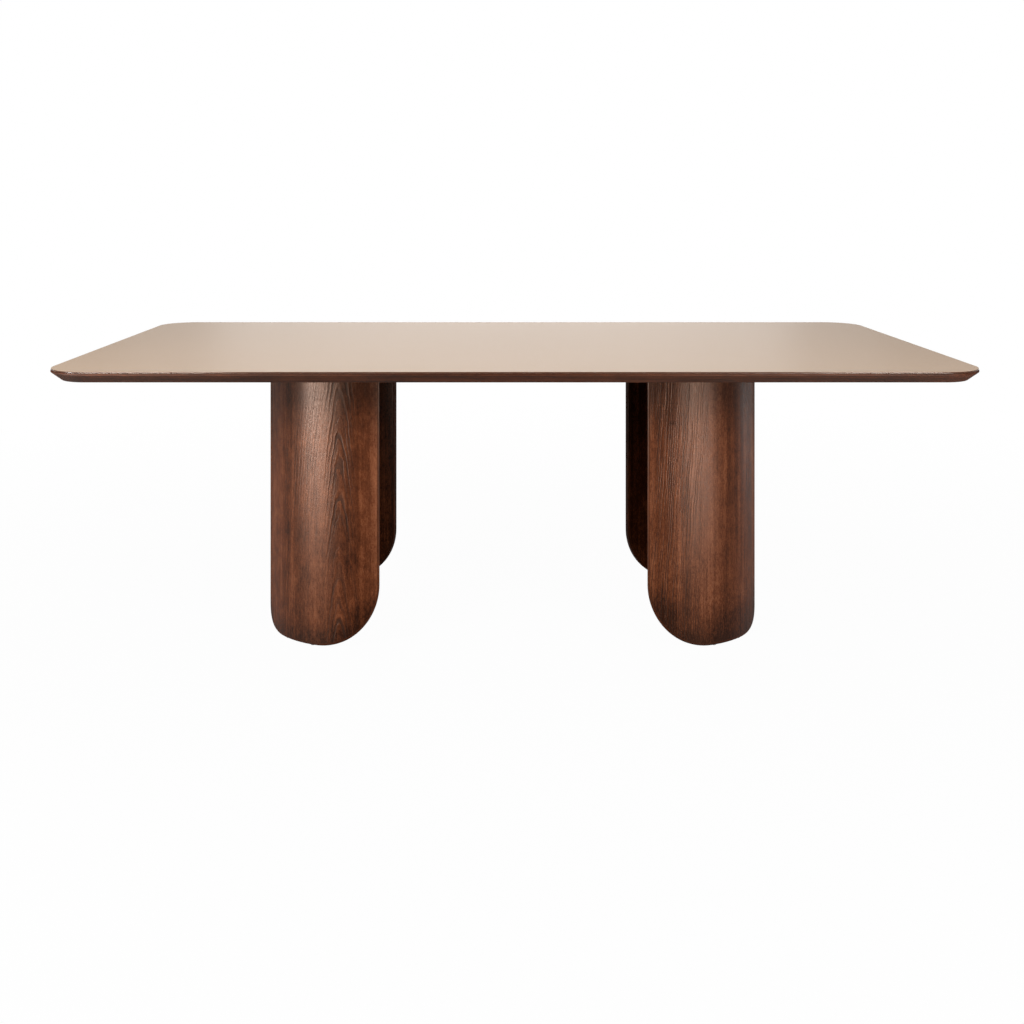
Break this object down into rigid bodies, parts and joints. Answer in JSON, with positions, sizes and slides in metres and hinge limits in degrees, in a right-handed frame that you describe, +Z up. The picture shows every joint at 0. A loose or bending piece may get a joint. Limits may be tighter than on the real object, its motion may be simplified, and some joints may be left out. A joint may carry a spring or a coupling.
{
  "type": "dining table",
  "caption": "Rectangular dining table: back-painted glass over an undercut bevelled wooden edge, on bent wooden panel legs with tongue-shaped feet, paired front and rear.",
  "frame": {"origin": "on the floor, under the middle of the top", "axes": "+X along the top's length, to the right seen from the front; -Y to the front; +Z up"},
  "size_m": [2.2, 1.1, 0.74],
  "materials": {
    "painted_glass": "clear glass painted beige on its underside, polished",
    "stained_wood": "open-grained veneer and timber, dark red-brown stain, satin lacquer",
    "laminated_core": "raw laminated veneers",
    "core_board": "raw pressed board",
    "raw_timber": "hardwood stained to match",
    "steel": "zinc plated",
    "glide_plastic": "moulded",
    "bond_pad": "double-sided foam"
  },
  "bodies": {
    "root": {"front_left_core": "laminated_core", "front_left_inner_veneer": "stained_wood", "front_left_outer_veneer": "stained_wood", "front_left_lipping": "stained_wood", "front_left_fixing_block": "raw_timber", "front_right_core": "laminated_core", "front_right_inner_veneer": "stained_wood", "front_right_outer_veneer": "stained_wood", "front_right_lipping": "stained_wood", "front_right_fixing_block": "raw_timber", "rear_left_core": "laminated_core", "rear_left_inner_veneer": "stained_wood", "rear_left_outer_veneer": "stained_wood", "rear_left_lipping": "stained_wood", "rear_left_fixing_block": "raw_timber", "rear_right_core": "laminated_core", "rear_right_inner_veneer": "stained_wood", "rear_right_outer_veneer": "stained_wood", "rear_right_lipping": "stained_wood", "rear_right_fixing_block": "raw_timber", "threaded_inserts": "steel", "leg_bolts": "steel", "bolt_washers": "steel", "block_screws": "steel", "floor_glides": "glide_plastic", "front_stiffener": "steel", "rear_stiffener": "steel", "core_panel": "core_board", "backer_panel": "stained_wood", "front_edge_rail": "stained_wood", "rear_edge_rail": "stained_wood", "left_edge_rail": "stained_wood", "right_edge_rail": "stained_wood", "edge_tongues": "laminated_core", "mitre_splines": "laminated_core", "glass_bond_pads": "bond_pad", "top_glass": "painted_glass"}
  },
  "joints": []
}
